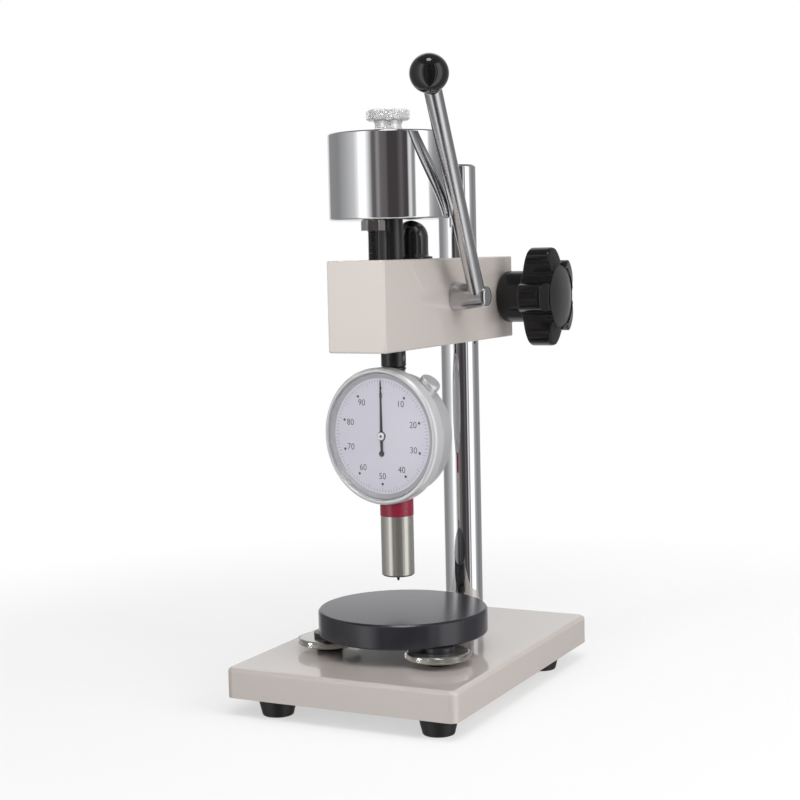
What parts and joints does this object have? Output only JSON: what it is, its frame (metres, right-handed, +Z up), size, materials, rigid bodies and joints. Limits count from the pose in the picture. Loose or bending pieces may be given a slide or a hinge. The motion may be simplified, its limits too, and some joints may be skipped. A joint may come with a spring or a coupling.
{
  "type": "hardness tester",
  "caption": "Bench stand for a dial hardness tester: lever-lifted spindle with dead weight and dial durometer over a round levelling table.",
  "frame": {"origin": "on the plane that the feet rest on, on the base plate's middle line, midway between its front edge and the clamp knob's rear lobes", "axes": "+Z up, -Y towards the operator, +X to the operator's right, the lever's side"},
  "size_m": [0.1084, 0.175, 0.2762],
  "materials": {
    "grey_paint": "gloss",
    "black_paint": "satin",
    "black_oxide": "semi-gloss",
    "black_rubber": "matt",
    "chrome": "polished",
    "steel": "plain",
    "bright_steel": "polished",
    "black_plastic": "satin",
    "gloss_black": "gloss",
    "bronze": "plain",
    "brass": "plain",
    "silver_alloy": "satin",
    "glass": "clear",
    "dial_white": "matt",
    "pointer_black": "matt",
    "crimson": "gloss"
  },
  "bodies": {
    "stand": {"base_plate": "grey_paint", "rubber_feet": "black_rubber", "foot_screws": "steel", "column": "chrome", "column_screw": "steel", "platen": "black_paint", "platen_bosses": "black_paint", "levelling_pads": "black_plastic"},
    "levelling_screw_right": {"levelling_screw_right": "bright_steel"},
    "levelling_screw_rear": {"levelling_screw_rear": "bright_steel"},
    "levelling_screw_left": {"levelling_screw_left": "bright_steel"},
    "arm": {"arm_block": "grey_paint", "upper_spindle_bush": "bronze", "lower_spindle_bush": "bronze", "left_shaft_bush": "bronze", "right_shaft_bush": "bronze", "stop_screw": "steel", "rubber_buffer": "black_rubber", "buffer_stud": "steel"},
    "clamp": {"star_knob": "black_plastic", "clamp_screw": "steel"},
    "lever": {"lever_shaft": "bright_steel", "lever_rod": "bright_steel", "ball_knob": "gloss_black", "lifting_arm": "steel", "lifting_arm_pin": "steel", "shaft_circlip": "steel"},
    "carriage": {"spindle": "black_oxide", "stem_set_screw": "steel", "weight": "chrome", "durometer_case": "silver_alloy", "back_cover": "silver_alloy", "back_screws": "steel", "durometer_stem": "bright_steel", "presser_barrel": "bright_steel", "neck_band": "crimson", "bezel_clamp": "silver_alloy", "bezel": "silver_alloy", "crystal": "glass", "dial_plate": "dial_white", "movement_front_plate": "brass", "movement_back_plate": "brass", "movement_pillars": "brass"},
    "weight_nut": {"weight_thumbscrew": "bright_steel"},
    "indenter": {"rack_stem": "steel", "indenter_pin": "steel", "indenter_spring": "steel"},
    "idler": {"idler_gear": "brass"},
    "hand": {"pointer": "pointer_black", "pointer_arbor": "steel"}
  },
  "joints": [
    {"name": "arm_height", "type": "slide", "parent": "stand", "child": "arm", "axis": [0, 0, 1], "range_m": [-0.011, 0.04]},
    {"name": "arm_clamp_knob", "type": "hinge", "parent": "arm", "child": "clamp", "pos_m": [0.0138, 0.06647, 0.174], "axis": [1, 0, 0], "range_deg": [0, 360]},
    {"name": "spindle_lift", "type": "slide", "parent": "arm", "child": "carriage", "axis": [0, 0, 1], "range_m": [0, 0.0065]},
    {"name": "lever_turn", "type": "hinge", "parent": "arm", "child": "lever", "pos_m": [0, 0.00797, 0.176], "axis": [1, 0, 0], "range_deg": [-10.38, 0]},
    {"name": "weight_nut_turn", "type": "hinge", "parent": "carriage", "child": "weight_nut", "pos_m": [0, -0.02803, 0.253], "axis": [0, 0, 1], "range_deg": [0, 360]},
    {"name": "levelling_right_turn", "type": "hinge", "parent": "stand", "child": "levelling_screw_right", "pos_m": [0.02825, -0.04789, 0.025], "axis": [0, 0, 1], "range_deg": [-180, 180]},
    {"name": "levelling_rear_turn", "type": "hinge", "parent": "stand", "child": "levelling_screw_rear", "pos_m": [0.00592, 0.00472, 0.025], "axis": [0, 0, 1], "range_deg": [-180, 180]},
    {"name": "levelling_left_turn", "type": "hinge", "parent": "stand", "child": "levelling_screw_left", "pos_m": [-0.02848, -0.04093, 0.025], "axis": [0, 0, 1], "range_deg": [-180, 180]},
    {"name": "indenter_press", "type": "slide", "parent": "carriage", "child": "indenter", "axis": [0, 0, 1], "range_m": [0, 0.0025], "stiffness_N_per_m": 3000, "springref_m": -0.00018, "deforming": ["indenter_spring"]},
    {"name": "idler_turn", "type": "hinge", "parent": "carriage", "child": "idler", "pos_m": [0.00276, -0.02847, 0.1073], "axis": [-0.1564, -0.9877, 0], "range_deg": [-95, 95]},
    {"name": "pointer_turn", "type": "hinge", "parent": "carriage", "child": "hand", "pos_m": [0, -0.02803, 0.1169], "axis": [-0.1564, -0.9877, 0], "range_deg": [-361, 361]}
  ],
  "couplings": [
    {"joint": "lever_turn", "follows": "spindle_lift", "rad_per_m": -27.816},
    {"joint": "idler_turn", "follows": "indenter_press", "rad_per_m": -628.32},
    {"joint": "pointer_turn", "follows": "indenter_press", "rad_per_m": 2513.3}
  ]
}
